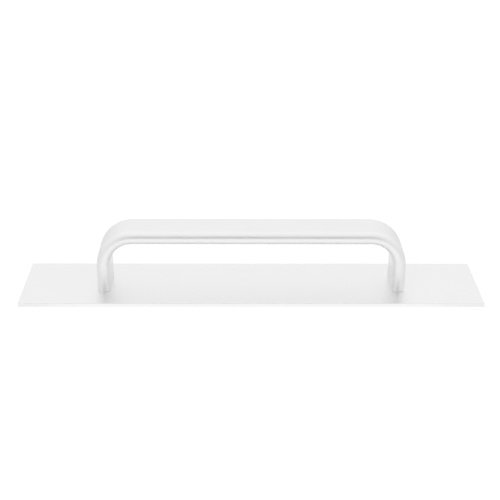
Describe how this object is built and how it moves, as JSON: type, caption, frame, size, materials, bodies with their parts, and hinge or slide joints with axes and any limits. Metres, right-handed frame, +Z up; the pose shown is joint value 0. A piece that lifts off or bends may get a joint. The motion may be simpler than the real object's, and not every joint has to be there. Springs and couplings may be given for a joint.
{
  "type": "flat plate with bridge handle",
  "caption": "Long thin rectangular metal plate with a low bridge handle, bent from flat-oval bar, standing on it and screwed on from below.",
  "frame": {"origin": "middle of the plate's underside", "axes": "+X along the plate's length, +Y towards its back long edge, +Z up out of the plate through the handle"},
  "size_m": [0.35, 0.075, 0.051],
  "materials": {
    "plate_metal": "satin, clear anodised",
    "handle_metal": "satin, clear anodised",
    "screw_steel": "plain stainless"
  },
  "bodies": {
    "root": {"plate": "plate_metal", "bridge_handle": "handle_metal", "screw_left_front": "screw_steel", "screw_left_back": "screw_steel", "screw_right_front": "screw_steel", "screw_right_back": "screw_steel"}
  },
  "joints": []
}
